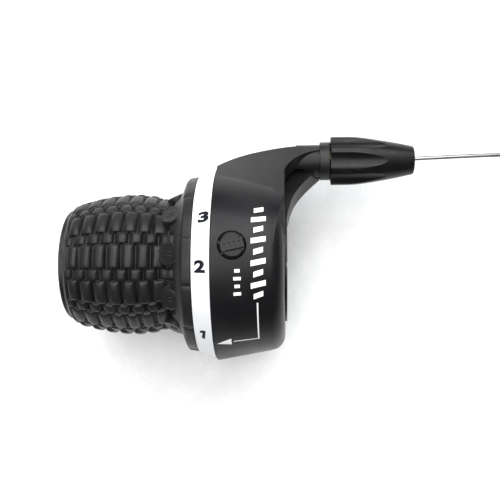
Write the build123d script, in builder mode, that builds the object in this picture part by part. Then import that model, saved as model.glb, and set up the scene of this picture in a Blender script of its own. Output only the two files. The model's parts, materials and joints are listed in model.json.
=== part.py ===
from build123d import *
import math
import os

# Left-hand three-speed twist-grip gear shifter for a flat handlebar, in millimetres.
# +X runs inboard along the handlebar, +Y forward and +Z up. The origin is on the handlebar's
# axis, at the housing's outboard edge. The grip is in first gear, with the shift wire let out.

os.makedirs("parts", exist_ok=True)

# Handlebar and clearances
bar_radius = 11.1
seat_gap = 0.05         # between pieces of one body that fit together
turning_gap = 0.2       # between pieces that turn on each other
face_gap = 0.25         # between the flat faces of moving pieces

# Housing: a shell that narrows inboard
housing_radius = 24.35
housing_taper = 10.6
housing_length = 16.65
housing_wall = 1.8
housing_corner = 3.8
end_wall_x = 14.2       # inner face of the inboard wall

# Base body: mandrel over the bar, base plate and split clamp hub
mandrel_radius = 12.2
mandrel_end_x = -37.9
plate_x = 8.7
plate_thickness = 1.2
plate_radius = 20.3
hub_radius = 14.6
hub_end_x = 17.2
clamp_x = 10.35         # the split part of the hub starts here
clamp_slit = 1.4
screw_x = 13.6
screw_z = -15.4
screw_radius = 2.0

# Grip
barrel_radius = mandrel_radius + turning_gap
barrel_outer = 13.6
sleeve_start_x = -36.85
collar_x = -4.65
collar_radius = 22.2
ring_seat_radius = 20.4
ring_start_radius = 22.35
ring_end_radius = 24.1
ring_end_x = -face_gap

# Cable drum and index ring
drum_seat_radius = 13.4
drum_radius = 16.9
drum_width = 4.0
cable_x = 4.8
cable_radius = 15.5     # the wire's centreline on the drum
wire_radius = 0.55
head_angle = 12.3       # the wire's head in first gear, under the access cap
index_x = 6.9
index_width = 1.1
index_radius = 17.6
gear_angles = (0, 44, 74)
spring_angle = 235

# Arm: the wire leaves the drum at leave_angle and turns inboard round the elbow
leave_angle = 45
elbow_radius = 16.0
arm_end_x = 25.8
arm_round = 4.3
arm_floor = -5.0        # heights above the wire's plane
arm_web = hub_radius - cable_radius
arm_roof = 0.75
arm_wall = 2.0
collar_start_x = 19.6   # the roof's round collar over the boss's spigot
adjuster_y = 27.0

# Barrel adjuster
boss_radius = 4.97
boss_end_x = 28.5
spigot_radius = 3.6
spigot_start_x = 21.5
thread_radius = 2.5
knob_start_x = 28.6
knob_end_x = 50.15
knob_radius = 6.33
knob_end_radius = 3.7
flute_count = 7
flute_radius = 3.09
flute_offset = 8.15
flute_phase = -8.0
socket_radius = 2.6
socket_start_x = 41.0

# Access cap
cap_angle = 9.4
cap_radius = 3.25
cap_hole_radius = 3.4
cap_bar_width = 2.7
cap_bar_tilt = 14.5
cap_groove = 0.5
key_hole_radius = 3.7   # way to the clamp screw through the housing


def cone_radius(x):
    """Outer radius of the housing at x."""
    return housing_radius - x * math.tan(math.radians(housing_taper))


def around(radius, angle):
    """(y, z) of a point at an angle from the top, counted towards the front."""
    turn = math.radians(angle)
    return (radius * math.sin(turn), radius * math.cos(turn))


def outline(points, plane=Plane.XY):
    """A straight-sided face on a plane."""
    with BuildSketch(plane) as face:
        with BuildLine():
            Polyline(*points, close=True)
        make_face()
    return face.sketch


def ring_outline(start_x, end_x, inner, outer):
    """Half section of a plain ring about the X axis."""
    return outline([(start_x, inner), (start_x, outer), (end_x, outer), (end_x, inner)])


def across(x):
    """Plane at x, facing inboard, with its own x axis along +Y and its y axis along +Z."""
    return Plane(origin=(x, 0, 0), x_dir=(0, 1, 0), z_dir=(1, 0, 0))


# The wire's plane: local x is X, local y runs down the arm, and height 0 is the wire's centreline.
wire_normal = Vector(0, *around(1, leave_angle))
wire_plane = Plane(origin=wire_normal * cable_radius, x_dir=(1, 0, 0), z_dir=wire_normal)
adjuster_z = 2 * around(cable_radius, leave_angle)[1] - adjuster_y
adjuster_run = (adjuster_y - adjuster_z) / math.sqrt(2)
elbow_start = adjuster_run - elbow_radius
elbow_end_x = cable_x + elbow_radius
adjuster_axis = Axis((0, adjuster_y, adjuster_z), (1, 0, 0))
adjuster_plane = Plane(origin=(0, adjuster_y, adjuster_z), x_dir=(1, 0, 0), z_dir=(0, 0, 1))


def on_adjuster(x):
    """Plane at x on the adjuster's axis, facing inboard."""
    return Plane(origin=(x, adjuster_y, adjuster_z), x_dir=(0, 1, 0), z_dir=(1, 0, 0))


# Arm, in two halves: the shell's roof and outer wall, and the base body's lower half

def arm_section(x, radius):
    """Side section of the arm: tangent to the shell's circle and to the arm's round end."""
    reach = math.hypot(adjuster_y, adjuster_z)
    slope = math.atan2(adjuster_z, adjuster_y)
    facing = slope + math.acos((radius - arm_round) / reach)
    normal = (math.cos(facing), math.sin(facing))
    middle = (math.cos(facing / 2), math.sin(facing / 2))
    shell_point = (radius * normal[0], radius * normal[1])
    ramp_end = (adjuster_y + arm_round * normal[0], adjuster_z + arm_round * normal[1])
    nose_point = (adjuster_y + arm_round * middle[0], adjuster_z + arm_round * middle[1])
    nose_end = (adjuster_y + arm_round, adjuster_z)
    with BuildSketch(across(x)) as section:
        with BuildLine():
            Line(shell_point, ramp_end)
            ThreePointArc(ramp_end, nose_point, nose_end)
            Polyline(nose_end, (nose_end[0], -30), (0, -30), (0, 0), shell_point)
        make_face()
    return section.sketch


def arm_plan(inset):
    """Plan outline of the arm: its outer edge sweeps from the shell's outboard edge to the boss."""
    with BuildSketch() as plan:
        with BuildLine():
            edge = Spline(
                (0, 24.2 - inset), (5, 27.2 - inset), (10, 28.9 - inset), (18, 30.5 - inset),
                (arm_end_x, 31.2 - inset),
            )
            Polyline(edge @ 1, (arm_end_x, -5), (0, -5), edge @ 0)
        make_face()
    return plan.sketch


def outer_edge(inset):
    """Points of the arm's outer edge on the wire's plane."""
    return [
        (0, 19.0 - inset), (6, 23.0 - inset), (12, 25.6 - inset), (18, 26.9 - inset),
        (arm_end_x, 27.2 - inset),
    ]


def roof_plan():
    """The arm's roof on the wire's plane: it stops short on the inside of the bend."""
    with BuildSketch(wire_plane) as plan:
        with BuildLine():
            Line((housing_length, 1), (housing_length, 12.5))
            bend = ThreePointArc((housing_length, 12.5), (19.4, 18.0), (arm_end_x, 21.6))
            edge = Spline(*outer_edge(0))
            Line(bend @ 1, edge @ 1)
            Polyline(edge @ 0, (0, 1), (housing_length, 1))
        make_face()
    return plan.sketch


def lower_plan(margin):
    """The arm's lower half on the wire's plane, grown by a margin where it enters the shell."""
    with BuildSketch(wire_plane) as plan:
        with BuildLine():
            web = Spline(
                (hub_end_x, 0), (17.9, 5.5 - margin), (19.2, 10.2 - margin), (21.6, 14.9 - margin),
                (arm_end_x, 20.9 - margin),
            )
            Polyline(
                web @ 1, (arm_end_x, 30), (6.5, 30), (6.5 - margin, 16.6 - margin),
                (plate_x - margin, 15.2 - margin), (plate_x - margin, 0), web @ 0,
            )
        make_face()
        with BuildSketch(mode=Mode.INTERSECT):
            with BuildLine():
                edge = Spline(*outer_edge(arm_wall - margin))
                Polyline(edge @ 1, (arm_end_x, -1), (0, -1), edge @ 0)
            make_face()
    return plan.sketch


def lower_block(margin, top):
    """Solid of the lower half of the arm, or of the pocket that it sits in."""
    floor = arm_floor - margin
    lift = Location(wire_normal * floor)
    with BuildPart() as block:
        extrude(lift * lower_plan(margin), amount=top - floor, dir=wire_normal)
        extrude(arm_plan(arm_wall - margin), amount=40, both=True, mode=Mode.INTERSECT)
    return block.part


with BuildPart() as arm_shell:
    first_section = arm_section(0, cone_radius(0) - 0.1)
    last_section = arm_section(housing_length, cone_radius(housing_length) - 0.1)
    loft([first_section, last_section])
    extrude(last_section, amount=arm_end_x - housing_length)
    extrude(arm_plan(0), amount=40, both=True, mode=Mode.INTERSECT)
    raised_plan = Location(wire_normal * arm_floor) * roof_plan()
    extrude(raised_plan, amount=30, dir=wire_normal, mode=Mode.INTERSECT)


def corner_section(angle, cut):
    """Radial section of the shell's inboard corner at an angle from the top, its tip cut off by that much."""
    slope = math.radians(housing_taper)
    along = (math.cos(slope), -math.sin(slope))
    tip = (housing_length, cone_radius(housing_length))
    radial = Vector(0, *around(1, angle))
    sunk = 0.03
    across_radial = Vector(1, 0, 0).cross(radial)
    with BuildSketch(Plane(origin=(0, 0, 0), x_dir=(1, 0, 0), z_dir=across_radial)) as section:
        with BuildLine():
            Polyline(
                (tip[0] - housing_corner * along[0], tip[1] - housing_corner * along[1] - sunk),
                (tip[0] - cut * along[0] - sunk, tip[1] - cut * along[1] - sunk),
                (tip[0] - sunk, tip[1] - cut - sunk),
                (tip[0] - sunk, tip[1] - housing_corner),
                (tip[0] - housing_corner, tip[1] - housing_corner),
                close=True,
            )
        make_face()
    return section.sketch


# Near the arm the rounded corner of the shell sharpens, until it is square where the arm starts.
with BuildPart() as corner_run:
    corner_steps = [(12, 2.5), (22, 2.0), (31, 1.4), (40, 0.75), (49.8, 0.2)]
    loft([corner_section(angle, cut) for angle, cut in corner_steps])

# The wire's path from the drum to the bottom of the adjuster's socket
with BuildLine(wire_plane) as wire_path:
    Line((cable_x, 0), (cable_x, elbow_start))
    CenterArc((elbow_end_x, elbow_start), elbow_radius, 180, -90)
    Line((elbow_end_x, adjuster_run), (socket_start_x, adjuster_run))

guide_start = 12        # degrees round the elbow
with BuildLine(wire_plane) as guide_path:
    CenterArc((elbow_end_x, elbow_start), elbow_radius, 180 - guide_start, guide_start - 90)
    Line((elbow_end_x, adjuster_run), (spigot_start_x - seat_gap, adjuster_run))


def swept(path, outer, inner=0):
    """Round bar or tube along a path."""
    start = Plane(origin=path @ 0, z_dir=path % 0)
    with BuildPart() as bar:
        with BuildSketch(start) as section:
            Circle(outer)
            if inner:
                Circle(inner, mode=Mode.SUBTRACT)
        sweep(section.sketch, path=path)
    return bar.part


# Access cap's place: on the shell over the wire, square to its surface
cap_yz = around(cone_radius(cable_x), cap_angle)
cap_tilt = math.radians(housing_taper)
cap_side = around(math.cos(cap_tilt), cap_angle)
cap_slope = around(-math.sin(cap_tilt), cap_angle)
cap_plane = Plane(
    origin=(cable_x, *cap_yz),
    x_dir=(math.cos(cap_tilt), *cap_slope),
    z_dir=(math.sin(cap_tilt), *cap_side),
)

# Housing screws
post_circle = 16.6
post_angles = (-25, -95, 115)
post_points = [around(post_circle, angle) for angle in post_angles]
post_radius = 1.65
small_screw_radius = 0.95
small_head_radius = 1.6
small_head_x = 15.35

# Clamp lugs, either side of the slit
lug_left = -7.2
lug_right = 8.2
lug_top = -12.0
lug_radius = 19.7

with BuildPart() as main_housing:
    end_radius = cone_radius(housing_length)
    revolve(
        outline([(0, 0), (0, housing_radius), (housing_length, end_radius), (housing_length, 0)]),
        axis=Axis.X,
    )
    fillet(main_housing.edges().filter_by(GeomType.CIRCLE).sort_by(Axis.X)[-1], housing_corner)
    add(arm_shell.part)
    add(corner_run.part)
    with BuildSketch(on_adjuster(collar_start_x)):
        Circle(arm_round - 0.05)
    extrude(amount=arm_end_x - collar_start_x)
    cavity_end = cone_radius(end_wall_x) - housing_wall
    revolve(
        outline([
            (-1, 0), (-1, cone_radius(-1) - housing_wall), (end_wall_x - 1.6, cavity_end + 0.3),
            (end_wall_x, cavity_end - 1.6), (end_wall_x, 0),
        ]),
        axis=Axis.X, mode=Mode.SUBTRACT,
    )
    with BuildSketch(across(end_wall_x)):
        Circle(hub_radius + 0.15)
    extrude(amount=5, mode=Mode.SUBTRACT)
    add(lower_block(0.12, arm_roof), mode=Mode.SUBTRACT)
    with BuildSketch(on_adjuster(spigot_start_x - 0.1)):
        Circle(spigot_radius + seat_gap)
    extrude(amount=10, mode=Mode.SUBTRACT)
    add(swept(guide_path.wire(), 1.35), mode=Mode.SUBTRACT)
    with BuildSketch(cap_plane.offset(-4)):
        Circle(cap_hole_radius)
    extrude(amount=6, mode=Mode.SUBTRACT)
    with BuildSketch(across(clamp_x + 1)):
        with Locations((0.3, lug_top + 0.1)):
            Rectangle(18.0, 10, align=(Align.CENTER, Align.MAX))
        Circle(lug_radius + 0.3, mode=Mode.INTERSECT)
    extrude(amount=10, mode=Mode.SUBTRACT)
    with BuildSketch(Plane(origin=(screw_x, lug_left + 0.1, screw_z), x_dir=(1, 0, 0), z_dir=(0, -1, 0))):
        Circle(key_hole_radius)
    extrude(amount=20, mode=Mode.SUBTRACT)
    with BuildSketch(across(end_wall_x - 0.2)):
        with Locations(*post_points):
            Circle(small_screw_radius + 0.15)
    extrude(amount=5, mode=Mode.SUBTRACT)
    with BuildSketch(across(small_head_x)):
        with Locations(*post_points):
            Circle(small_head_radius + 0.1)
    extrude(amount=5, mode=Mode.SUBTRACT)
main_housing.part.label = "main_housing"
export_step(main_housing.part, "parts/main_housing.step")


# Base body: mandrel, base plate, split clamp hub with its lugs, spring posts and the arm's lower half
nut_y = 4.45
nut_thickness = 2.2
nut_width = 6.8
spring_post_spread = 22
clip_x = -37.3
clip_width = 0.6

with BuildPart() as clamp_lugs:
    with BuildSketch(across(clamp_x)):
        with Locations(((lug_left + lug_right) / 2, lug_top)):
            Rectangle(lug_right - lug_left, 8, align=(Align.CENTER, Align.MAX))
        Circle(lug_radius, mode=Mode.INTERSECT)
    extrude(amount=6.65)

with BuildPart() as base_body:
    revolve(ring_outline(mandrel_end_x, hub_end_x, bar_radius, mandrel_radius), axis=Axis.X)
    revolve(ring_outline(plate_x, plate_x + plate_thickness, bar_radius, plate_radius), axis=Axis.X)
    revolve(ring_outline(plate_x, hub_end_x, bar_radius, hub_radius), axis=Axis.X)
    add(lower_block(0, arm_web))
    add(clamp_lugs.part)
    with BuildSketch(across(plate_x + plate_thickness)):
        with Locations(*post_points):
            Circle(post_radius)
    extrude(amount=end_wall_x - plate_x - plate_thickness - seat_gap)
    with BuildSketch(across(plate_x)):
        for side in (-1, 1):
            with Locations(around(19.2, spring_angle + side * spring_post_spread)):
                Rectangle(2.6, 2.0, rotation=-(spring_angle + side * spring_post_spread))
    extrude(amount=-2.0)
    # the bore, and what is cut to let the hub close on the bar
    with BuildSketch(across(mandrel_end_x - 1)):
        Circle(bar_radius)
    extrude(amount=70, mode=Mode.SUBTRACT)
    with BuildSketch(across(clamp_x)):
        with Locations((0, -16)):
            Rectangle(clamp_slit, 12)
    extrude(amount=10, mode=Mode.SUBTRACT)
    with BuildSketch(across(plate_x + plate_thickness)):
        Circle(hub_radius + 0.1)
        with Locations((0, -2.5)):
            Rectangle(60, 60, align=(Align.CENTER, Align.MAX), mode=Mode.INTERSECT)
        with Locations((0, lug_top)):
            Rectangle(17.4, 10, align=(Align.CENTER, Align.MAX))
    extrude(amount=clamp_x - plate_x - plate_thickness, mode=Mode.SUBTRACT)
    with BuildSketch(Plane(origin=(screw_x, lug_left, screw_z), x_dir=(1, 0, 0), z_dir=(0, -1, 0))):
        Circle(key_hole_radius - 0.1)
    extrude(amount=10, mode=Mode.SUBTRACT)
    with BuildSketch(Plane(origin=(screw_x, 0, screw_z), x_dir=(1, 0, 0), z_dir=(0, -1, 0))):
        Circle(screw_radius + 0.1)
    extrude(amount=12, both=True, mode=Mode.SUBTRACT)
    with BuildSketch(Plane(origin=(screw_x, nut_y - seat_gap, screw_z), x_dir=(1, 0, 0), z_dir=(0, 1, 0))):
        with Locations((0, 2)):
            Rectangle(nut_width + 0.1, nut_width + 4.1)
    extrude(amount=nut_thickness + 0.1, mode=Mode.SUBTRACT)
    with BuildSketch(across(end_wall_x - 4)):
        with Locations(*post_points):
            Circle(small_screw_radius)
    extrude(amount=4, mode=Mode.SUBTRACT)
    # seats for the retaining clip, the cable guide and the threaded boss
    revolve(
        ring_outline(
            clip_x - seat_gap, clip_x + clip_width + seat_gap, mandrel_radius - 0.4, mandrel_radius + 1,
        ),
        axis=Axis.X, mode=Mode.SUBTRACT,
    )
    add(swept(guide_path.wire(), 1.3), mode=Mode.SUBTRACT)
    with BuildSketch(on_adjuster(spigot_start_x - 0.1)):
        Circle(spigot_radius + seat_gap)
    extrude(amount=10, mode=Mode.SUBTRACT)
base_body.part.label = "base_body"
export_step(base_body.part, "parts/base_body.step")

with BuildPart() as retaining_clip:
    with BuildSketch(across(clip_x)):
        Circle(mandrel_radius + 0.8)
        Circle(mandrel_radius - 0.35, mode=Mode.SUBTRACT)
        with Locations((0, -12)):
            Rectangle(6, 6, mode=Mode.SUBTRACT)
    extrude(amount=clip_width)
retaining_clip.part.label = "retaining_clip"
export_step(retaining_clip.part, "parts/retaining_clip.step")

# Clamp screw, its nut, and the screws that hold the shell
head_radius = 3.5
head_height = 4.0
head_y = lug_left - seat_gap

with BuildPart() as clamp_screw:
    with BuildSketch(Plane(origin=(screw_x, head_y, screw_z), x_dir=(1, 0, 0), z_dir=(0, -1, 0))):
        Circle(head_radius)
    extrude(amount=head_height)
    chamfer(clamp_screw.edges().sort_by(Axis.Y)[0], 0.4)
    head_base = (screw_x, head_y - head_height, screw_z)
    with BuildSketch(Plane(origin=head_base, x_dir=(1, 0, 0), z_dir=(0, 1, 0))):
        RegularPolygon(1.5, 6, major_radius=False)
    extrude(amount=2.2, mode=Mode.SUBTRACT)
    with BuildSketch(Plane(origin=(screw_x, head_y, screw_z), x_dir=(1, 0, 0), z_dir=(0, 1, 0))):
        Circle(screw_radius - 0.02)
    extrude(amount=16)
clamp_screw.part.label = "clamp_screw"
export_step(clamp_screw.part, "parts/clamp_screw.step")

with BuildPart() as clamp_nut:
    with BuildSketch(Plane(origin=(screw_x, nut_y, screw_z), x_dir=(1, 0, 0), z_dir=(0, 1, 0))):
        Rectangle(nut_width, nut_width)
        Circle(screw_radius, mode=Mode.SUBTRACT)
    extrude(amount=nut_thickness)
clamp_nut.part.label = "clamp_nut"
export_step(clamp_nut.part, "parts/clamp_nut.step")

with BuildPart() as housing_screws:
    with BuildSketch(across(small_head_x + seat_gap)):
        with Locations(*post_points):
            Circle(small_head_radius)
    extrude(amount=1.1)
    with BuildSketch(across(small_head_x + seat_gap + 1.1)):
        with Locations(*post_points):
            Rectangle(2.2, 0.4)
            Rectangle(0.4, 2.2)
    extrude(amount=-0.6, mode=Mode.SUBTRACT)
    with BuildSketch(across(small_head_x + seat_gap)):
        with Locations(*post_points):
            Circle(small_screw_radius - 0.03)
    extrude(amount=-4.5)
housing_screws.part.label = "housing_screws"
export_step(housing_screws.part, "parts/housing_screws.step")

# Grip: barrel, rubber sleeve, number ring, drum and index ring, all turning on the mandrel
barrel_start_x = -38.0
barrel_end_x = index_x + index_width
rim_radius = 13.9

with BuildPart() as grip_barrel:
    revolve(
        outline([
            (barrel_start_x, mandrel_radius + 1.0), (barrel_start_x, rim_radius - 0.3),
            (barrel_start_x + 0.3, rim_radius), (sleeve_start_x, rim_radius),
            (sleeve_start_x, barrel_outer - 0.05), (collar_x + 0.05, barrel_outer - 0.05),
            (collar_x + 0.05, ring_seat_radius), (ring_end_x, ring_seat_radius),
            (ring_end_x, drum_seat_radius), (barrel_end_x, drum_seat_radius),
            (barrel_end_x, barrel_radius), (clip_x + 0.9, barrel_radius),
            (clip_x + 0.9, mandrel_radius + 1.0),
        ]),
        axis=Axis.X,
    )
    revolve(ring_outline(collar_x - 1, -2.2, 16.2, 18.8), axis=Axis.X, mode=Mode.SUBTRACT)
grip_barrel.part.label = "grip_barrel"
export_step(grip_barrel.part, "parts/grip_barrel.step")

with BuildPart() as rubber_sleeve:
    with BuildSketch(Plane.XY) as sleeve_profile:
        with BuildLine():
            crown = Spline((sleeve_start_x, 14.2), (-35.1, 15.7), (-31.1, 16.8), (-27, 17.55), (-21, 18.0),
                           (-15.7, 17.4), (-12.2, 16.4))
            cone = Spline(crown @ 1, (-10.4, 16.8), (-8.9, 18.2), tangents=((1, 0), (1, 1.6)))
            Polyline(cone @ 1, (-7.4, 21.5), (collar_x, collar_radius), (collar_x, barrel_outer),
                     (sleeve_start_x, barrel_outer), crown @ 0)
        make_face()
    revolve(axis=Axis.X)
rubber_sleeve.part.label = "rubber_sleeve"
export_step(rubber_sleeve.part, "parts/rubber_sleeve.step")

with BuildPart() as number_ring:
    revolve(
        outline([
            (collar_x + 0.05, ring_seat_radius + seat_gap), (collar_x + 0.05, ring_start_radius),
            (ring_end_x, ring_end_radius), (ring_end_x, ring_seat_radius + seat_gap),
        ]),
        axis=Axis.X,
    )
number_ring.part.label = "number_ring"
export_step(number_ring.part, "parts/number_ring.step")

# The wire's head lies along the wire, with its front end at head_angle
head_length = 4.0
wire_head_radius = 1.95
head_point = around(cable_radius, head_angle)
head_direction = around(1, head_angle + 90)
head_axis = (0, -head_direction[0], -head_direction[1])
head_plane = Plane(origin=(cable_x, *head_point), x_dir=(1, 0, 0), z_dir=head_axis)

with BuildPart() as cable_head:
    with BuildSketch(head_plane):
        Circle(wire_head_radius)
    extrude(amount=head_length)
cable_head.part.label = "cable_head"
export_step(cable_head.part, "parts/cable_head.step")

with BuildPart() as cable_drum:
    revolve(
        ring_outline(
            cable_x - drum_width / 2, cable_x + drum_width / 2, drum_seat_radius + seat_gap, drum_radius,
        ),
        axis=Axis.X,
    )
    with BuildSketch(Plane.XY):
        with Locations((cable_x, cable_radius)):
            Circle(wire_radius + 0.1)
        with Locations((cable_x, cable_radius + 1)):
            Rectangle(2 * wire_radius + 0.2, 2)
    revolve(axis=Axis.X, mode=Mode.SUBTRACT)
    with BuildSketch(head_plane.offset(-seat_gap)):
        Circle(wire_head_radius + 0.04)
        with Locations((0, -2)):
            Rectangle(3.2, 4)
    extrude(amount=head_length + 2 * seat_gap, mode=Mode.SUBTRACT)
cable_drum.part.label = "cable_drum"
export_step(cable_drum.part, "parts/cable_drum.step")

notch_radius = 1.05
notch_circle = 17.95
with BuildPart() as index_ring:
    revolve(
        ring_outline(index_x, index_x + index_width, drum_seat_radius + seat_gap, index_radius), axis=Axis.X,
    )
    with BuildSketch(across(index_x)):
        with Locations(*[around(notch_circle, spring_angle + turn) for turn in gear_angles]):
            Circle(notch_radius)
    extrude(amount=index_width, mode=Mode.SUBTRACT)
index_ring.part.label = "index_ring"
export_step(index_ring.part, "parts/index_ring.step")

with BuildPart() as thrust_washer:
    revolve(ring_outline(barrel_end_x, barrel_end_x + 0.5, barrel_radius, 16.5), axis=Axis.X)
thrust_washer.part.label = "thrust_washer"
export_step(thrust_washer.part, "parts/thrust_washer.step")

wound_angle = leave_angle - head_angle
wound_start = Plane(origin=(cable_x, *head_point), x_dir=(1, 0, 0), z_dir=(0, *head_direction))
with BuildPart() as wound_cable:
    with BuildSketch(wound_start) as wound_section:
        Circle(wire_radius)
    revolve(wound_section.sketch, axis=Axis.X, revolution_arc=-(wound_angle - 1))
wound_cable.part.label = "wound_cable"
export_step(wound_cable.part, "parts/wound_cable.step")

# Detent spring: a leaf between two posts, its nose in the index ring's notch
leaf_radius = 18.9
leaf_thickness = 0.35
with BuildPart() as detent_spring:
    with BuildSketch(Plane.YZ.offset(index_x)) as leaf_section:
        with BuildLine():
            spread = spring_post_spread - 4.2
            ends = [around(leaf_radius, spring_angle + side * spread) for side in (-1, 1)]
            ThreePointArc(ends[0], around(leaf_radius, spring_angle), ends[1])
        trace(line_width=leaf_thickness)
        with Locations(around(notch_circle, spring_angle)):
            Circle(notch_radius - 0.08)
    extrude(amount=index_width)
detent_spring.part.label = "detent_spring"
export_step(detent_spring.part, "parts/detent_spring.step")

# Wire inside the shifter, its guide and the threaded boss
with BuildPart() as inner_cable:
    add(swept(wire_path.wire(), wire_radius))
inner_cable.part.label = "inner_cable"
export_step(inner_cable.part, "parts/inner_cable.step")

with BuildPart() as cable_guide:
    add(swept(guide_path.wire(), 1.25, 0.75))
cable_guide.part.label = "cable_guide"
export_step(cable_guide.part, "parts/cable_guide.step")

with BuildPart() as threaded_boss:
    with BuildSketch(on_adjuster(spigot_start_x)):
        Circle(spigot_radius)
    extrude(amount=arm_end_x - spigot_start_x + seat_gap)
    with BuildSketch(on_adjuster(arm_end_x + seat_gap)):
        Circle(boss_radius)
    extrude(amount=boss_end_x - arm_end_x - seat_gap)
    fillet(threaded_boss.edges().filter_by(GeomType.CIRCLE).sort_by(Axis.X)[-1], 0.35)
    with BuildSketch(on_adjuster(spigot_start_x)):
        Circle(1.0)
    extrude(amount=10, mode=Mode.SUBTRACT)
    with BuildSketch(on_adjuster(spigot_start_x + 0.8)):
        Circle(thread_radius + 0.08)
    extrude(amount=10, mode=Mode.SUBTRACT)
threaded_boss.part.label = "threaded_boss"
export_step(threaded_boss.part, "parts/threaded_boss.step")

# Barrel adjuster: fluted knob on a hollow screw, with a click spring behind a sliding seat
pocket_radius = 4.7
pocket_end_x = 33.2
stem_end_x = 38.2
screw_start_x = 22.6
seat_x = 32.5

with BuildPart() as knob_flutes:
    with BuildSketch(on_adjuster(knob_start_x - 1)):
        with PolarLocations(flute_offset, flute_count, start_angle=90 - flute_phase):
            Circle(flute_radius)
    extrude(amount=20)

with BuildPart() as adjuster_knob:
    with BuildSketch(adjuster_plane) as knob_profile:
        with BuildLine():
            side = Spline(
                (32.9, knob_radius), (38.5, 5.8), (43.1, 5.06), (knob_end_x - 0.25, knob_end_radius),
                tangents=((1, 0), (1, -0.22)),
            )
            Polyline(side @ 1, (knob_end_x, knob_end_radius - 0.25), (knob_end_x, 0), (knob_start_x, 0),
                     (knob_start_x, knob_radius - 0.2), (knob_start_x + 0.2, knob_radius), side @ 0)
        make_face()
    revolve(axis=adjuster_axis)
    add(knob_flutes.part, mode=Mode.SUBTRACT)
    with BuildSketch(on_adjuster(knob_start_x)):
        Circle(1.0)
    extrude(amount=30, mode=Mode.SUBTRACT)
    with BuildSketch(on_adjuster(knob_start_x)):
        Circle(pocket_radius)
    extrude(amount=pocket_end_x - knob_start_x, mode=Mode.SUBTRACT)
    with BuildSketch(on_adjuster(knob_start_x)):
        Circle(thread_radius)
    extrude(amount=stem_end_x - knob_start_x, mode=Mode.SUBTRACT)
    with BuildSketch(on_adjuster(socket_start_x)):
        Circle(socket_radius)
    extrude(amount=20, mode=Mode.SUBTRACT)
adjuster_knob.part.label = "adjuster_knob"
export_step(adjuster_knob.part, "parts/adjuster_knob.step")

with BuildPart() as adjuster_screw:
    with BuildSketch(on_adjuster(screw_start_x)):
        Circle(thread_radius)
        Circle(0.95, mode=Mode.SUBTRACT)
    extrude(amount=stem_end_x - screw_start_x)
adjuster_screw.part.label = "adjuster_screw"
export_step(adjuster_screw.part, "parts/adjuster_screw.step")

with BuildPart() as spring_seat:
    with BuildSketch(on_adjuster(seat_x)):
        Circle(pocket_radius - turning_gap)
        Circle(thread_radius + turning_gap, mode=Mode.SUBTRACT)
    extrude(amount=0.5)
spring_seat.part.label = "spring_seat"
export_step(spring_seat.part, "parts/spring_seat.step")

spring_wire = 0.3
spring_mean = 3.7
spring_start_x = boss_end_x + spring_wire + 0.02
spring_length = seat_x - boss_end_x - 2 * spring_wire - 0.04
with BuildPart() as adjuster_spring:
    with BuildLine() as coil:
        Helix(spring_length / 3, spring_length, spring_mean, center=(spring_start_x, adjuster_y, adjuster_z),
              direction=(1, 0, 0))
    with BuildSketch(Plane(origin=coil.line @ 0, z_dir=coil.line % 0)):
        Circle(spring_wire)
    sweep(path=coil.line, is_frenet=True)
adjuster_spring.part.label = "adjuster_spring"
export_step(adjuster_spring.part, "parts/adjuster_spring.step")

# Access cap: a disc with a raised bar between two grooves, and two lugs that turn under the shell
cap_top = 0.3
cap_depth = 2.4
cap_rim = 0.6
cap_lug_top = 0.6       # height of the two lugs over the cap's lower end
groove_depth = 0.5
bar_rise = 0.25
bar_length = 5.3
bar_plane = cap_plane.rotated((0, 0, cap_bar_tilt))
with BuildPart() as access_cap:
    with BuildSketch(cap_plane.offset(-cap_depth)):
        Circle(cap_radius)
    extrude(amount=cap_depth + cap_top)
    chamfer(access_cap.edges().filter_by(GeomType.CIRCLE).sort_by(Axis.Z)[-1], cap_rim)
    with BuildSketch(bar_plane.offset(cap_top)):
        with Locations((0, cap_bar_width / 2), (0, -cap_bar_width / 2)):
            Rectangle(2.2 * cap_radius, cap_groove)
    extrude(amount=-groove_depth, mode=Mode.SUBTRACT)
    with BuildSketch(bar_plane.offset(cap_top - 2 * groove_depth)):
        Rectangle(bar_length, cap_bar_width - cap_groove - 0.06)
    extrude(amount=2 * groove_depth + bar_rise)
    with BuildSketch(bar_plane.offset(cap_top + bar_rise)):
        with GridLocations(1.15, 1, 4, 1):
            Rectangle(0.5, 0.5 * cap_bar_width)
    extrude(amount=-0.3, mode=Mode.SUBTRACT)
    with BuildSketch(cap_plane.offset(-cap_depth - cap_lug_top)):
        Circle(3.95)
        Rectangle(9, 2.4, mode=Mode.INTERSECT)
    extrude(amount=cap_lug_top)
access_cap.part.label = "access_cap"
export_step(access_cap.part, "parts/access_cap.step")

# Free wire: out of the adjuster, down to the ground that the housing lies on, into a neat coil
ground_z = -housing_radius
coil_pitch = 2 * wire_radius * 1.02
coil_turns = 7
coil_mean = 9.9
coil_outer = coil_mean + coil_pitch * (coil_turns - 1) / 2
coil_inner = coil_mean - coil_pitch * (coil_turns - 1) / 2
coil_centre = (125.0, 29.0 - coil_outer)
full_layer_top = ground_z + 2 * wire_radius + 2 * coil_pitch
part_layer_top = full_layer_top + coil_pitch
part_layer_radius = coil_mean + wire_radius + 0.15
floor_wire_z = ground_z + wire_radius

wire_route = [
    (socket_start_x, adjuster_y, adjuster_z), (58.5, 27.75, -5.12), (76.0, 28.5, -6.3),
    (89.0, 28.85, -12.0), (100.0, 29.0, -19.0), (111.0, 29.05, -22.9), (118.5, 29.02, floor_wire_z),
    (122.0, 29.0, floor_wire_z),
]


def route_radii(points):
    """Largest tangent arcs that the runs of a route leave room for."""
    radii = []
    for before, corner, after in zip(points, points[1:], points[2:]):
        into = Vector(*corner) - Vector(*before)
        out = Vector(*after) - Vector(*corner)
        half_turn = math.radians(into.get_angle(out)) / 2
        radii.append(0.45 * min(into.length, out.length) / math.tan(half_turn))
    return radii


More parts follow.
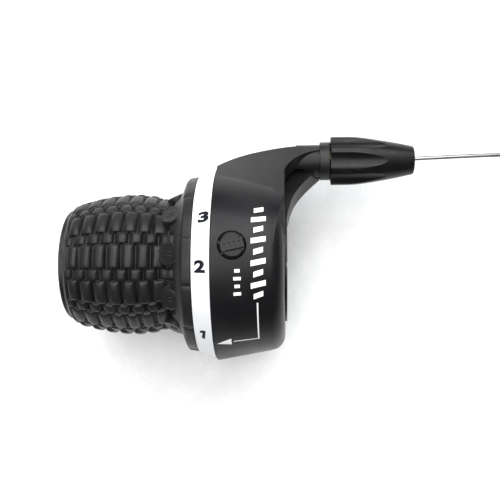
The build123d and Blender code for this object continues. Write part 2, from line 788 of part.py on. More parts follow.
wire_radii = route_radii(wire_route)
print("free wire arc radii, mm:", [round(radius, 1) for radius in wire_radii])
with BuildLine() as free_path:
    FilletPolyline(*wire_route, radius=wire_radii)

with BuildPart() as free_wire:
    add(swept(free_path.wire(), wire_radius))
free_wire.part.label = "free_wire"
export_step(free_wire.part, "parts/free_wire.step")
wire_section = math.pi * wire_radius ** 2
swept_volume = wire_section * free_path.wire().length
print("free wire volume over section x length:", free_wire.part.volume / swept_volume)

with BuildPart() as wire_coil:
    coil_plane = Plane(origin=(*coil_centre, 0), x_dir=(1, 0, 0), z_dir=(0, -1, 0))
    revolve(
        outline([
            (coil_inner - wire_radius, ground_z), (coil_outer + wire_radius, ground_z),
            (coil_outer + wire_radius, full_layer_top), (part_layer_radius, full_layer_top),
            (part_layer_radius, part_layer_top), (coil_inner - wire_radius, part_layer_top),
        ], coil_plane),
        axis=Axis((*coil_centre, 0), (0, 0, 1)),
    )
wire_coil.part.label = "wire_coil"
export_step(wire_coil.part, "parts/wire_coil.step")

crimp_radius = 1.0
crimp_length = 8.0
crimp_circle = 11.9
crimp_bite = 0.1
with BuildPart() as end_crimp:
    crimp_end = (
        coil_centre[0] - crimp_length / 2, coil_centre[1] - crimp_circle,
        full_layer_top + crimp_radius - crimp_bite,
    )
    with BuildSketch(Plane(origin=crimp_end, x_dir=(0, 1, 0), z_dir=(1, 0, 0))):
        Circle(crimp_radius)
    extrude(amount=crimp_length)
    fillet(end_crimp.edges().filter_by(GeomType.CIRCLE).sort_by(Axis.X)[0], 0.5)
end_crimp.part.label = "end_crimp"
export_step(end_crimp.part, "parts/end_crimp.step")
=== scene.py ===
"""Looks of the twist-grip shifter: rubber grip, printed marks, stranded cable and finishes on the frame."""
import json
from math import cos, pi, radians, sin, tau

import bmesh
import bpy
import numpy as np
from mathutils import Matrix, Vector
from mathutils.bvhtree import BVHTree


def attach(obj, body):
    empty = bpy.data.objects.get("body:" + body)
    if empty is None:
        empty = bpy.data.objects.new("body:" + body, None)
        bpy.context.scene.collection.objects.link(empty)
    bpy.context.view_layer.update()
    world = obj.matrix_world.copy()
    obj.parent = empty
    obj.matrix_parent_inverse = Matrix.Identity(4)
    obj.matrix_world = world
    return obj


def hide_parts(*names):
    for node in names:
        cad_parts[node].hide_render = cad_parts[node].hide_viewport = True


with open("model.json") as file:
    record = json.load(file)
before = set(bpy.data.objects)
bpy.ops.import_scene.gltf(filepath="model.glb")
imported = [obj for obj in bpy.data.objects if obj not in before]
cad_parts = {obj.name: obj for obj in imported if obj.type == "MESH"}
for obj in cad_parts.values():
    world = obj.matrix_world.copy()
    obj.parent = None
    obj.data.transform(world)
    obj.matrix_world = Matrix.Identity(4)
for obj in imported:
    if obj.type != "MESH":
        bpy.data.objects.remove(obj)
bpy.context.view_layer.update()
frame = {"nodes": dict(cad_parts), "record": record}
mm = 0.001
nodes = frame["nodes"]
ground = -24.35                     # the surface that the housing lies on, in mm


def link(name, data):
    """A new object of that name, in the scene."""
    item = bpy.data.objects.new(name, data)
    bpy.context.scene.collection.objects.link(item)
    return item


def mesh_object(name, points, faces, smooth=True):
    """A mesh piece from points in millimetres and faces, with outward normals."""
    data = bpy.data.meshes.new(name)
    data.from_pydata([tuple(Vector(p) * mm) for p in points], [], faces)
    shape = bmesh.new()
    shape.from_mesh(data)
    bmesh.ops.recalc_face_normals(shape, faces=shape.faces)
    for face in shape.faces:
        face.smooth = smooth
    shape.to_mesh(data)
    shape.free()
    return link(name, data)


# ---------------------------------------------------------------- camera, floor and light

def make_camera():
    """Looks almost straight down from about a hand's length above the part."""
    lens = bpy.data.cameras.new("camera")
    lens.sensor_width = 36
    lens.lens = 54.7
    lens.clip_start = 0.01
    camera = link("camera", lens)
    camera.location = Vector((18.13, -3.74, 194.2)) * mm
    camera.rotation_euler = (0.0484, 0.0536, -0.0023)
    bpy.context.scene.camera = camera


def soft_light(name, place, target, size, power, colour):
    """A rectangular soft box at place, facing target, all in mm."""
    lamp = bpy.data.lights.new(name, "AREA")
    lamp.shape = "RECTANGLE"
    lamp.size = size[0] * mm
    lamp.size_y = size[1] * mm
    lamp.energy = power
    lamp.color = colour
    item = link(name, lamp)
    item.location = Vector(place) * mm
    aim = Vector(target) * mm - item.location
    item.rotation_euler = aim.to_track_quat("-Z", "Y").to_euler()


def make_light():
    """A wide window beyond the arm and a wide ceiling panel; the near side of the room stays dim."""
    soft_light("window", (40, 480, 470), (10, 10, 0), (900, 380), 5.6, (0.97, 0.985, 1.0))
    soft_light("ceiling", (-40, 60, 700), (10, 10, 0), (900, 560), 7.0, (1.0, 0.995, 0.98))
    world = bpy.data.worlds.new("room")
    world.use_nodes = True
    background = world.node_tree.nodes["Background"]
    background.inputs["Color"].default_value = (0.93, 0.95, 1.0, 1)
    background.inputs["Strength"].default_value = 0.17
    bpy.context.scene.world = world
    bpy.context.scene.view_settings.view_transform = "Standard"


def make_floor():
    """A plain pale board with a soft, slightly uneven face."""
    side = 1500
    floor = mesh_object("floor", [(-side, -side, ground), (side, -side, ground), (side, side, ground),
                                  (-side, side, ground)], [(0, 1, 2, 3)], smooth=False)
    paper = Finish("pale_board", (0.86, 0.865, 0.87), rough=0.62)
    paper.mottle(220, 0.03)
    paper.blend_in(paper.noise(1500, 3), (0.84, 0.84, 0.835), (0.42, 0.8))
    paper.bump("noise", 700, 0.12)
    paper.on(floor)


# ---------------------------------------------------------------- finishes

class Finish:
    """A procedural finish whose colour, roughness and bump vary over the piece; sizes are per metre."""

    def __init__(self, name, colour, rough=0.5, metal=0.0, specular=0.5):
        self.material = bpy.data.materials.new(name)
        self.material.use_nodes = True
        self.tree = self.material.node_tree
        self.shader = self.tree.nodes["Principled BSDF"]
        self.colour = colour
        self.rough = rough
        self.shader.inputs["Base Color"].default_value = (*colour, 1)
        self.shader.inputs["Roughness"].default_value = rough
        self.shader.inputs["Metallic"].default_value = metal
        self.shader.inputs["Specular IOR Level"].default_value = specular
        self.place = self.tree.nodes.new("ShaderNodeTexCoord").outputs["Object"]
        self.tint = None
        self.normal = None

    def add(self, kind, **settings):
        node = self.tree.nodes.new(kind)
        for key, value in settings.items():
            setattr(node, key, value)
        return node

    def join(self, source, target):
        self.tree.links.new(source, target)

    def noise(self, scale, detail=3.0, stretch=None):
        """Noise of that many cells to the metre, stretched where a piece has grain."""
        place = self.place
        if stretch:
            mapping = self.add("ShaderNodeMapping")
            mapping.inputs["Scale"].default_value = stretch
            self.join(place, mapping.inputs["Vector"])
            place = mapping.outputs["Vector"]
        texture = self.add("ShaderNodeTexNoise")
        texture.inputs["Scale"].default_value = scale
        texture.inputs["Detail"].default_value = detail
        self.join(place, texture.inputs["Vector"])
        return texture.outputs["Fac"]

    def blend_in(self, amount, colour, clip=(0.35, 0.65)):
        """Mixes another colour in where amount rises through clip."""
        ramp = self.add("ShaderNodeMapRange", clamp=True)
        ramp.inputs["From Min"].default_value = clip[0]
        ramp.inputs["From Max"].default_value = clip[1]
        self.join(amount, ramp.inputs["Value"])
        mix = self.add("ShaderNodeMix", data_type="RGBA")
        self.join(ramp.outputs["Result"], mix.inputs["Factor"])
        if self.tint is None:
            mix.inputs[6].default_value = (*self.colour, 1)
        else:
            self.join(self.tint, mix.inputs[6])
        mix.inputs[7].default_value = (*colour, 1)
        self.tint = mix.outputs[2]
        self.join(self.tint, self.shader.inputs["Base Color"])
        return self

    def mottle(self, scale, strength):
        """Lightens the colour in soft patches, by strength."""
        lighter = tuple(min(1.0, c * (1 + 2 * strength) + strength * 0.12) for c in self.colour)
        return self.blend_in(self.noise(scale, 5), lighter)

    def vary_rough(self, scale, spread, stretch=None):
        """Roughness wanders by spread to either side."""
        ramp = self.add("ShaderNodeMapRange")
        ramp.inputs["From Min"].default_value = 0.3
        ramp.inputs["From Max"].default_value = 0.7
        ramp.inputs["To Min"].default_value = self.rough - spread
        ramp.inputs["To Max"].default_value = self.rough + spread
        self.join(self.noise(scale, 4, stretch), ramp.inputs["Value"])
        self.join(ramp.outputs["Result"], self.shader.inputs["Roughness"])
        return self

    def bump(self, kind, scale, strength, stretch=None, depth=0.0001):
        """Fine relief, from noise or from pebbled cells, stacked on any relief before it."""
        if kind == "noise":
            height = self.noise(scale, 6, stretch)
        else:
            cells = self.add("ShaderNodeTexVoronoi")
            cells.inputs["Scale"].default_value = scale
            self.join(self.place, cells.inputs["Vector"])
            height = cells.outputs["Distance"]
        relief = self.add("ShaderNodeBump")
        relief.inputs["Strength"].default_value = strength
        relief.inputs["Distance"].default_value = depth
        self.join(height, relief.inputs["Height"])
        if self.normal is not None:
            self.join(self.normal, relief.inputs["Normal"])
        self.normal = relief.outputs["Normal"]
        self.join(self.normal, self.shader.inputs["Normal"])
        return self

    def level(self, name):
        """The value of a named point attribute."""
        return self.add("ShaderNodeAttribute", attribute_name=name).outputs["Fac"]

    def on(self, *items):
        for item in items:
            item.data.materials.clear()
            item.data.materials.append(self.material)
        return self


def housing_finish():
    """Injection-moulded black nylon, spark-eroded to a fine matt grain, dusty and rubbed in places."""
    finish = Finish("housing_plastic", (0.0036, 0.0037, 0.0044), rough=0.36, specular=0.21)
    finish.mottle(90, 0.04)
    finish.blend_in(finish.noise(2600, 2), (0.018, 0.0178, 0.0175), (0.66, 0.80))
    finish.vary_rough(160, 0.06)
    finish.bump("cells", 5200, 0.22, depth=0.00004)
    finish.bump("noise", 420, 0.10, depth=0.0002)
    return finish


def knob_finish():
    """Harder, smoother black plastic with fine handling marks."""
    finish = Finish("knob_plastic", (0.0030, 0.0030, 0.0035), rough=0.33, specular=0.20)
    finish.mottle(150, 0.03)
    finish.blend_in(finish.noise(900, 3, (0.25, 1, 1)), (0.024, 0.024, 0.024), (0.64, 0.78))
    finish.vary_rough(240, 0.08)
    finish.bump("noise", 1500, 0.14, (0.4, 1, 1), depth=0.00006)
    return finish


def rubber_finish():
    """Soft black rubber: a painted highlight makes the crests paler and painted shade darkens the grooves,
    with fine pale dust specks.
    """
    finish = Finish("grip_rubber", (0.0020, 0.0020, 0.0021), rough=0.42, specular=0.27)
    # Painted highlight on the crests and painted shade in the grooves, following the relief attribute.
    finish.blend_in(finish.level("crest_light"), (0.0085, 0.0080, 0.0077), (0.25, 0.98))
    finish.blend_in(finish.noise(180, 5), (0.0145, 0.0135, 0.0125), (0.52, 0.76))
    finish.blend_in(finish.noise(2400, 2), (0.046, 0.043, 0.039), (0.68, 0.84))
    finish.vary_rough(260, 0.09)
    finish.bump("cells", 3600, 0.28, depth=0.00006)
    finish.bump("noise", 900, 0.22, depth=0.00012)
    finish.shader.inputs["Sheen Weight"].default_value = 0.05
    finish.shader.inputs["Sheen Roughness"].default_value = 0.45
    return finish


def ring_finish():
    """White moulded plastic, a little translucent, greyed by handling."""
    finish = Finish("ring_plastic", (0.80, 0.81, 0.83), rough=0.38)
    finish.mottle(60, -0.03)
    finish.blend_in(finish.noise(700, 4), (0.66, 0.66, 0.66), (0.62, 0.86))
    finish.vary_rough(300, 0.06)
    finish.bump("noise", 900, 0.06, depth=0.00005)
    finish.shader.inputs["Subsurface Weight"].default_value = 0.12
    finish.shader.inputs["Subsurface Radius"].default_value = (0.0010, 0.0009, 0.0008)
    return finish


def plain_plastic(name, colour, rough, patches=0.2):
    """An inner moulding with flow marks and a faint grain."""
    finish = Finish(name, colour, rough=rough, specular=0.3)
    finish.mottle(120, patches)
    finish.vary_rough(200, 0.07)
    finish.bump("noise", 1300, 0.12, depth=0.00005)
    return finish


def metal_finish(name, colour, rough, grain, tarnish):
    """A metal with drawn or turned grain, and dull patches of the tarnish colour."""
    finish = Finish(name, colour, rough=rough, metal=1.0)
    finish.blend_in(finish.noise(260, 5), tarnish, (0.5, 0.78))
    finish.vary_rough(520, 0.09, grain)
    finish.bump("noise", 1800, 0.16, grain, depth=0.00005)
    return finish


def ink_finish(name, colour, bare):
    """Pad-printed ink, with pinholes where the plastic shows."""
    finish = Finish(name, colour, rough=0.5, specular=0.2)
    finish.blend_in(finish.noise(3200, 3), bare, (0.66, 0.80))
    finish.vary_rough(400, 0.08)
    finish.bump("noise", 2600, 0.1, depth=0.00003)
    return finish


def finish_cad_nodes():
    """Every carried-over CAD node gets the finish of its own material."""
    made = {
        "housing_plastic": housing_finish(),
        "knob_plastic": knob_finish(),
        "ring_plastic": ring_finish(),
        "grip_rubber": rubber_finish(),
        "inner_plastic": plain_plastic("inner_plastic", (0.004, 0.004, 0.0045), 0.4, patches=0.04),
        "drum_plastic": plain_plastic("drum_plastic", (0.42, 0.42, 0.40), 0.45),
        "liner_plastic": plain_plastic("liner_plastic", (0.62, 0.62, 0.58), 0.4),
        "zinc_steel": metal_finish("zinc_steel", (0.56, 0.57, 0.58), 0.32, (1, 1, 1), (0.36, 0.36, 0.37)),
        "spring_steel": metal_finish("spring_steel", (0.42, 0.42, 0.43), 0.36, (1, 1, 1), (0.22, 0.21, 0.2)),
        "wire_steel": metal_finish("wire_steel", (0.30, 0.30, 0.305), 0.33, (0.2, 1, 1), (0.2, 0.195, 0.19)),
        "brass": metal_finish("brass", (0.66, 0.50, 0.24), 0.33, (0.3, 1, 1), (0.42, 0.32, 0.17)),
        "crimp_aluminium": metal_finish("crimp_aluminium", (0.78, 0.78, 0.79), 0.3, (0.3, 1, 1),
                                        (0.55, 0.55, 0.56)),
    }
    slots = {row["node"]: row["material_slot"] for row in frame["record"]["subparts"]}
    for name, item in nodes.items():
        made[slots[name]].on(item)
    return made


# ---------------------------------------------------------------- cable

wire_diameter = 1.1
wire_route = [(41.0, 27.0, -5.08), (58.5, 27.75, -5.12), (76.0, 28.5, -6.3), (89.0, 28.85, -12.0),
              (100.0, 29.0, -19.0), (111.0, 29.05, -22.9), (118.5, 29.02, -23.8), (122.0, 29.0, -23.8)]
coil_pitch = 1.122
coil_outer = 13.266                 # centreline radius of the outermost turn
layer_steps = 6                     # turns from the outermost to the innermost of a layer
coil_inner = coil_outer - layer_steps * coil_pitch
coil_centre = (125.0, 29.0 - coil_outer)
top_turns = 3                       # turns in the last, half-filled layer
points_per_turn = 24
climb_steps = 10                    # the last points climb out over the top turns, to the crimp
climb_turn, climb_out, climb_up = 0.42, 2.2, 0.33
crimp_drop = 11.9                   # from the coil's middle back to the crimp's axis
crimp_start, crimp_middle = 5.4, 4.0
line_step = 0.0012                  # metres between the rings of the wire's mesh
strand_count = 12
strand_valley = 0.93                # radius between two strands, over the radius on one
strand_lay = 0.013                  # metres in which a strand goes round once


def coil_path():
    """(turns, radius, height) along the coil: three full layers, in, out and in, and half a layer out."""
    low = ground + wire_diameter / 2
    stages = [(coil_outer, coil_inner, 0), (coil_inner, coil_outer, 1), (coil_outer, coil_inner, 2)]
    path = []
    turns = 0
    for start, end, layer in stages:
        for step in range((layer_steps + 1) * points_per_turn):
            part = step / points_per_turn
            radius = start + (end - start) * min(part / layer_steps, 1)
            height = low + coil_pitch * (layer + max(part - layer_steps, 0))
            path.append((turns + part, radius, height))
        turns += layer_steps + 1
    top = low + 3 * coil_pitch
    for step in range(top_turns * points_per_turn + 1):
        part = step / points_per_turn
        path.append((turns + part, coil_inner + coil_pitch * part, top))
    turns += top_turns
    for step in range(1, climb_steps + 1):
        part = step / climb_steps
        path.append((turns + climb_turn * part, coil_inner + coil_pitch * (top_turns + climb_out * part),
                     top + climb_up * part))
    return path


def cable_points():
    """Control points of the whole inner wire, from the adjuster to the crimped tip."""
    points = list(wire_route)
    for turns, radius, height in coil_path():
        angle = pi / 2 - tau * turns
        points.append((coil_centre[0] + radius * cos(angle), coil_centre[1] + radius * sin(angle), height))
    crimp_y = coil_centre[1] - crimp_drop
    top = points[-1][2]
    points.append((coil_centre[0] + crimp_start, crimp_y - 0.02, top))
    points.append((coil_centre[0] + crimp_middle, crimp_y, top))
    return points


def smooth_line(points):
    """Points along the smooth curve that has these control points, in metres."""
    curve = bpy.data.curves.new("cable_line", "CURVE")
    curve.dimensions = "3D"
    spline = curve.splines.new("NURBS")
    spline.points.add(len(points) - 1)
    for target, point in zip(spline.points, points):
        target.co = (*(Vector(point) * mm), 1)
    spline.order_u = 3
    spline.use_endpoint_u = True
    spline.resolution_u = 12
    carrier = link("cable_line", curve)
    bpy.context.view_layer.update()
    line = bpy.data.meshes.new_from_object(carrier.evaluated_get(bpy.context.evaluated_depsgraph_get()))
    found = np.array([vertex.co for vertex in line.vertices])
    bpy.data.objects.remove(carrier)
    bpy.data.meshes.remove(line)
    return found


def evenly(line, step):
    """The same line, in steps of equal length."""
    lengths = np.r_[0, np.cumsum(np.linalg.norm(np.diff(line, axis=0), axis=1))]
    at = np.linspace(0, lengths[-1], int(lengths[-1] / step) + 1)
    return np.stack([np.interp(at, lengths, line[:, axis]) for axis in range(3)], axis=1), lengths[-1]


def stranded_tube(name, line, radius, strands, lay):
    """A wire whose outer strands twist one turn in each lay: ridges and valleys run along it."""
    along = np.gradient(line, axis=0)
    along /= np.linalg.norm(along, axis=1)[:, None]
    side = np.cross(along[0], (0, 0, 1))
    around = 2 * strands
    turn = tau * np.arange(around) / around
    depth = radius * np.where(np.arange(around) % 2, strand_valley, 1.0)
    step = np.linalg.norm(line[1] - line[0])
    points = []
    for index, (centre, ahead) in enumerate(zip(line, along)):
        side = side - ahead * side.dot(ahead)
        side /= np.linalg.norm(side)
        up = np.cross(ahead, side)
        angle = turn + tau * index * step / lay
        spokes = np.cos(angle)[:, None] * side + np.sin(angle)[:, None] * up
        points += list(centre + depth[:, None] * spokes)
    faces = [(a * around + b, a * around + (b + 1) % around, (a + 1) * around + (b + 1) % around,
              (a + 1) * around + b) for a in range(len(line) - 1) for b in range(around)]
    faces.append(tuple(range(around)))
    faces.append(tuple(range((len(line) - 1) * around, len(line) * around)))
    return mesh_object(name, np.array(points) / mm, faces)


def make_cable(finishes):
    """The bare inner wire that pulls at the hub gear, its spare length coiled beside the part."""
    line, length = evenly(smooth_line(cable_points()), line_step)
    wire = stranded_tube("inner_wire", line, wire_diameter * mm / 2, strand_count, strand_lay)
    finishes["wire_steel"].on(wire)
    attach(wire, "root")
    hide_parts("free_wire", "wire_coil")


# ---------------------------------------------------------------- rubber grip

grip_profile = [(-36.85, 14.2), (-36.3, 14.9), (-35.1, 15.7), (-31.1, 16.8), (-27.0, 17.55), (-21.0, 18.0),
                (-15.7, 17.4), (-12.2, 16.4), (-10.4, 16.8), (-8.9, 18.2), (-7.4, 21.5)]
collar_profile = [(-7.0, 21.9), (-5.0, 22.2), (-4.65, 22.1)]
sleeve_bore = 13.62
row_step = 30                       # degrees from one broad row of blocks to the next
row_phase = 5.0                     # the broad row that faces up, in degrees from +Z towards +Y
broad_half = 10.2                   # half the angle that a broad row covers
block_pitch = 3.62                  # along the grip's surface
pattern_start = 1.3                 # surface length from the grip's outer end to the first block
pattern_end = 28.6
groove_depth = 1.2
row_edge = 0.35                     # half the angle over which one row of blocks turns into the next
block_lean, block_width, block_power, block_crown = 0.045, 0.95, 3.6, 0.66
narrow_height = 0.82                # of the narrow rows' blocks, where the broad rows' have 1
sag_broad, sag_narrow = 0.22, 0.2   # how far a block sinks towards its row's edge
row_gap, row_gap_width = 0.5, 0.4   # the dent between two rows: its depth, and degrees to its side
profile_step, collar_step = 0.2, 0.4
collar_start_x = -7.2
collar_seam, seam_step = 15.5, 30   # degrees to one seam in the collar, and between two
seam_gap, seam_gap_width = 0.3, 0.55


def through(points, spacing):
    """Points of a smooth curve through the given ones, about spacing apart."""
    ends = [np.array(p, float) for p in points]
    ends = [2 * ends[0] - ends[1], *ends, 2 * ends[-1] - ends[-2]]
    made = []
    for a, b, c, d in zip(ends, ends[1:], ends[2:], ends[3:]):
        count = max(1, round(np.linalg.norm(c - b) / spacing))
        for t in np.arange(count) / count:
            made.append(0.5 * (2 * b + (c - a) * t + (2 * a - 5 * b + 4 * c - d) * t * t
                               + (3 * b - a - 3 * c + d) * t ** 3))
    made.append(ends[-2])
    return np.array(made)


def step_up(value, low, high):
    """0 below low and 1 above high, smooth between."""
    part = np.clip((value - low) / (high - low), 0, 1)
    return part * part * (3 - 2 * part)


def rib(place):
    """Height, 0 to 1, of a rounded rib that fills one pitch but for its groove, and leans to one side."""
    part = np.mod(place, 1.0)
    leaned = part - block_lean * np.sin(tau * part)
    across = np.clip(np.abs(2 * leaned - 1) / block_width, 0, 1)
    return (1 - across ** block_power) ** block_crown


def grip_relief(length, angle):
    """0 at the bottom of a groove and 1 on a crest, for surface length in mm and angle in degrees."""
    local = np.abs(np.mod(angle - row_phase + row_step / 2, row_step) - row_step / 2)
    place = (length - pattern_start) / block_pitch
    narrow = step_up(local, broad_half - row_edge, broad_half + row_edge)
    narrow_half = row_step / 2 - broad_half
    broad_sag = 1 - sag_broad * np.clip(local / broad_half, 0, 1) ** 5
    narrow_sag = 1 - sag_narrow * np.clip(np.abs(row_step / 2 - local) / narrow_half, 0, 1) ** 5
    broad = rib(place) * broad_sag
    between = narrow_height * rib(place + 0.5) * narrow_sag
    height = broad * (1 - narrow) + between * narrow
    height = height * (1 - row_gap * np.exp(-((local - broad_half) / row_gap_width) ** 2))
    started = step_up(length, pattern_start - 0.1, pattern_start + 0.25)
    ended = step_up(length, pattern_end - 0.5, pattern_end)
    return 1 - (1 - height) * started * (1 - ended)


def ring_angles():
    """Angles for the grip's mesh lines, close together where the rows of blocks meet."""
    half = [0, 2.6, 5.2, 7.6, 9.2, 9.85, 10.2, 10.55, 11.2, 12.9]
    local = sorted({-a for a in half} | set(half) | {row_step / 2})
    return np.array([row * row_step + row_phase + a for row in range(360 // row_step) for a in local])


def make_grip(finishes):
    """The ribbed sleeve: broad and narrow rows of blocks round a barrel shape, and a smooth flared collar."""
    outer = through(grip_profile, profile_step)
    collar = through(collar_profile, collar_step)
    profile = np.vstack([outer, collar])
    length = np.r_[0, np.cumsum(np.linalg.norm(np.diff(profile, axis=0), axis=1))]
    tangent = np.gradient(profile, axis=0)
    tangent /= np.linalg.norm(tangent, axis=1)[:, None]
    angles = ring_angles()
    inward = [(profile[-1][0], sleeve_bore), (profile[0][0], sleeve_bore)]
    points, crest_light = [], []
    for (x, radius), along, place in zip(profile, tangent, length):
        relief = grip_relief(place, angles)
        if x > collar_start_x:
            from_seam = np.mod(angles - collar_seam + seam_step / 2, seam_step) - seam_step / 2
            relief = 1 - seam_gap * np.exp(-(from_seam / seam_gap_width) ** 2)
        drop = groove_depth * (1 - relief)
        at_x = x + drop * along[1]
        at_r = radius - drop * along[0]
        points += [(a, r * sin(radians(t)), r * cos(radians(t))) for a, r, t in zip(at_x, at_r, angles)]
        crest_light += list(relief)
    # The bore gets the full painted shade of a groove's bottom.
    for x, radius in inward:
        points += [(x, radius * sin(radians(t)), radius * cos(radians(t))) for t in angles]
        crest_light += [0.0] * len(angles)
    around, rings = len(angles), len(profile) + 2
    faces = [(a * around + b, a * around + (b + 1) % around, ((a + 1) % rings) * around + (b + 1) % around,
              ((a + 1) % rings) * around + b) for a in range(rings) for b in range(around)]
    grip = mesh_object("ribbed_grip", points, faces)
    # This attribute, 0 in the grooves and 1 on the crests, paints shade into the grooves and seams and a
    # highlight onto the crests and collar.
    grip.data.attributes.new("crest_light", "FLOAT", "POINT").data.foreach_set("value", np.array(crest_light, np.float32))
    finishes["grip_rubber"].on(grip)
    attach(grip, "twist_grip")
    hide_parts("rubber_sleeve")


badge_count = 10
badge_phase = 6.5                   # degrees from +Z towards +Y
badge_place = (-10.75, 17.5)        # x and radius of a button's middle
badge_lean = 0.42                   # how far its face leans outboard
badge_radius = 2.8
badge_depth = 2.4
badge_rim = 0.3
badge_bars = (-0.45, 0.45)          # how far the two bars lie from the button's middle
badge_bar_foot = (1.0, 0.16)        # half length and half width at the foot of a bar
badge_bar_face = (0.94, 0.1)
badge_bar_sunk, badge_bar_proud = 0.15, 0.05
badge_segments = 28
badge_crest_light = 0.8                   # painted highlight level of the buttons, nearly that of the grip's crests


def disc_profile(radius, height, edge):
    """(radius, height) points of a low button with a rounded rim."""
    arc = [(radius - edge + edge * sin(a), height - edge + edge * cos(a)) for a in np.linspace(0, pi / 2, 5)]
    return [(radius - 2.4 * edge, height - 0.06), (radius - 1.9 * edge, height), *arc, (radius, 0)]


def bar_corners(half_length, half_width, shift):
    """Corners of a bar across a button."""
    return [(a * half_length, shift + b * half_width) for a, b in ((-1, -1), (1, -1), (1, 1), (-1, 1))]


def make_badges(finishes):
    """Round buttons moulded into the waist of the grip, each with two plain raised bars."""
    shape = bmesh.new()
    for index in range(badge_count):
        angle = radians(badge_phase + index * 360 / badge_count)
        up = Vector((-badge_lean, sin(angle), cos(angle))).normalized()
        across = Vector((0, cos(angle), -sin(angle)))
        along = across.cross(up)
        middle = Vector((badge_place[0], badge_place[1] * sin(angle), badge_place[1] * cos(angle)))
        base = middle - up * badge_depth

        def at(u, v, w):
            return shape.verts.new((base + along * u + across * v + up * w) * mm)

        turns = [tau * k / badge_segments for k in range(badge_segments)]
        rings = [[at(r * cos(turn), r * sin(turn), h) for turn in turns]
                 for r, h in disc_profile(badge_radius, badge_depth, badge_rim)]
        shape.faces.new(rings[0])
        shape.faces.new(list(reversed(rings[-1])))
        for inner, outer in zip(rings, rings[1:]):
            for k in range(badge_segments):
                after = (k + 1) % badge_segments
                shape.faces.new((inner[k], outer[k], outer[after], inner[after]))
        for shift in badge_bars:
            low = [at(u, v, badge_depth - badge_bar_sunk) for u, v in bar_corners(*badge_bar_foot, shift)]
            top = [at(u, v, badge_depth + badge_bar_proud) for u, v in bar_corners(*badge_bar_face, shift)]
            shape.faces.new(top)
            shape.faces.new(list(reversed(low)))
            for k in range(4):
                shape.faces.new((low[k], low[(k + 1) % 4], top[(k + 1) % 4], top[k]))
    bmesh.ops.recalc_face_normals(shape, faces=shape.faces)
    for face in shape.faces:
        face.smooth = len(face.verts) == 4
    data = bpy.data.meshes.new("grip_buttons")
    shape.to_mesh(data)
    shape.free()
    badges = link("grip_buttons", data)
    # The buttons' faces get nearly the painted highlight of the grip's crests.
    badge_light = np.full(len(data.vertices), badge_crest_light, np.float32)
    data.attributes.new("crest_light", "FLOAT", "POINT").data.foreach_set("value", badge_light)
    finishes["grip_rubber"].on(badges)
    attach(badges, "twist_grip")


# ---------------------------------------------------------------- printed marks

ink_top, ink_sunk = 0.035, -0.05    # the ink's two faces, from the surface under it
ray_start = 0.06                    # metres from the bar's axis, outside everything
ink_cut = (0.8, 0.5)                # longest piece of ink along the bar, and round it
ring_radius, shell_radius = 23.3, 23.0
digit_weight = 0.05                 # how far a digit's outline is pushed out, over its height
digits = (("3", -1.87, 26.4, 2.6, 2.85), ("2", -2.5, -2.5, 2.65, 2.95))
one_x, one_angle = -2.7, -46.7
one_stem = ((0.25, 1.5), (0.95, 1.5), (0.55, -1.5), (-0.2, -1.5))
one_flag = ((-0.5, 1.05), (-0.5, 0.3), (0.3, 0.75), (0.3, 1.5))
pointer_x, pointer_half = 10.5, 0.16
pointer_start, pointer_end, pointer_tip = -24.6, -53.2, -52.2       # degrees round the bar
slat_x, slat_first, slat_span = 10.75, 33.0, 52.5
slat_count, slat_lean, slat_below, slat_above = 9, 0.35, 0.75, 0.55
slat_halves = (1.1, 1.7)            # half widths, by turns
tick_count, tick_x, tick_first, tick_step = 4, 6.0, -5.0, 4.4
tick_widths, tick_height = (1.2, 1.7), 0.75


def surface_of(node):
    """A search tree of a CAD node's surface, in metres."""
    data = nodes[node].data
    return BVHTree.FromPolygons([v.co for v in data.vertices], [p.vertices for p in data.polygons])


def land(tree, x, degrees, lift):
    """The point, lift above the surface, that a ray towards the bar's axis meets."""
    out = Vector((0, sin(radians(degrees)), cos(radians(degrees))))
    place, normal, _, _ = tree.ray_cast(Vector((x * mm, 0, 0)) + out * ray_start, -out)
    return place + normal * lift * mm


def cut_up(shape, axis, step):
    """Cuts a flat mesh across one axis, so that no face is longer than step."""
    places = [v.co[axis] for v in shape.verts]
    across = (1, 0, 0) if axis == 0 else (0, 1, 0)
    cut = min(places) + step
    while cut < max(places):
        bmesh.ops.bisect_plane(shape, geom=[*shape.verts, *shape.edges, *shape.faces],
                               plane_co=[cut * part for part in across], plane_no=across, dist=1e-5)
        cut += step


def print_on(name, node, body, shape, ink, radius):
    """Wraps a flat outline mesh (x in mm, arc length in mm) round a node as a thin closed layer of ink."""
    bmesh.ops.triangulate(shape, faces=shape.faces)
    cut_up(shape, 1, ink_cut[1])
    cut_up(shape, 0, ink_cut[0])
    made = bmesh.ops.extrude_face_region(shape, geom=list(shape.faces))
    raised = {v for v in made["geom"] if isinstance(v, bmesh.types.BMVert)}
    tree = surface_of(node)
    for vertex in shape.verts:
        lift = ink_top if vertex in raised else ink_sunk
        vertex.co = land(tree, vertex.co.x, vertex.co.y / radians(1) / radius, lift)
    bmesh.ops.recalc_face_normals(shape, faces=shape.faces)
    data = bpy.data.meshes.new(name)
    shape.to_mesh(data)
    shape.free()
    item = link(name, data)
    ink.on(item)
    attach(item, body)


def outline(*shapes):
    """A flat mesh with one face for each outline of (x, arc) points."""
    flat = bmesh.new()
    for shape in shapes:
        flat.faces.new([flat.verts.new((x, y, 0)) for x, y in shape])
    return flat


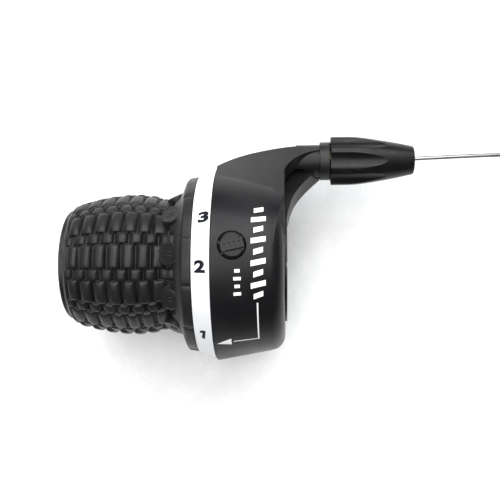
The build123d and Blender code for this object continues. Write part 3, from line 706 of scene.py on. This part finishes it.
def digit_outline(text, x, degrees, size, radius):
    """The flat shape of a number of that (width, height), centred at x and an angle round the ring."""
    curve = bpy.data.curves.new("digit", "FONT")
    curve.body = text
    curve.size = size[1]
    curve.offset = digit_weight * size[1]
    curve.resolution_u = 5
    carrier = link("digit", curve)
    bpy.context.view_layer.update()
    data = bpy.data.meshes.new_from_object(carrier.evaluated_get(bpy.context.evaluated_depsgraph_get()))
    flat = bmesh.new()
    flat.from_mesh(data)
    bmesh.ops.remove_doubles(flat, verts=flat.verts, dist=1e-4)
    bpy.data.objects.remove(carrier)
    bpy.data.meshes.remove(data)
    low = Vector([min(v.co[a] for v in flat.verts) for a in (0, 1)])
    high = Vector([max(v.co[a] for v in flat.verts) for a in (0, 1)])
    middle = (low + high) / 2
    for vertex in flat.verts:
        vertex.co.x = x + (vertex.co.x - middle.x) * size[0] / (high.x - low.x)
        vertex.co.y = radius * radians(degrees) + (vertex.co.y - middle.y) * size[1] / (high.y - low.y)
    return flat


def make_digits():
    """Gear numbers 3, 2 and 1 printed on the white ring."""
    ink = ink_finish("number_ink", (0.004, 0.005, 0.011), (0.04, 0.04, 0.05))
    for text, x, degrees, width, height in digits:
        flat = digit_outline(text, x, degrees, (width, height), ring_radius)
        print_on("gear_number_" + text, "number_ring", "twist_grip", flat, ink, ring_radius)
    one_y = ring_radius * radians(one_angle)
    flat = outline(*[[(x + one_x, y + one_y) for x, y in shape] for shape in (one_stem, one_flag)])
    print_on("gear_number_1", "number_ring", "twist_grip", flat, ink, ring_radius)


def bar(x, y, width, height):
    """The corners of an upright rectangle centred at x, y."""
    w, h = width / 2, height / 2
    return [(x - w, y - h), (x + w, y - h), (x + w, y + h), (x - w, y + h)]


def make_marks():
    """The pointer to the gear in use, and rows of plain bars beside it."""
    ink = ink_finish("mark_ink", (0.86, 0.87, 0.88), (0.45, 0.45, 0.45))
    arc = shell_radius * radians(1)
    line_start, line_end, tip = pointer_start * arc, pointer_end * arc, pointer_tip * arc
    left, right = pointer_x - pointer_half, pointer_x + pointer_half
    turn = [(left, line_start), (right, line_start), (right, line_end - 0.12),
            (4.6, tip - 0.14), (4.6, tip + 0.1), (left, line_end + 0.14)]
    arrow = [(4.1, tip - 1.15), (4.1, tip + 1.15), (0.75, tip)]
    slats = []
    for index in range(slat_count):
        y = (slat_first - index * slat_span / (slat_count - 1)) * arc
        half = slat_halves[index % 2]
        low, high = y - slat_below, y + slat_above
        slats.append([(slat_x - half, low - slat_lean), (slat_x + half, low + slat_lean),
                      (slat_x + half, high + slat_lean), (slat_x - half, high - slat_lean)])
    ticks = [bar(tick_x, (tick_first - step * tick_step) * arc, tick_widths[step % 2], tick_height)
             for step in range(tick_count)]
    for name, shapes in (("pointer_mark", (turn, arrow)), ("plain_bars", slats), ("small_ticks", ticks)):
        print_on(name, "main_housing", "root", outline(*shapes), ink, shell_radius)


# ---------------------------------------------------------------- put together

make_camera()
finishes = finish_cad_nodes()
make_cable(finishes)
make_floor()
make_light()
make_grip(finishes)
make_badges(finishes)
make_digits()
make_marks()
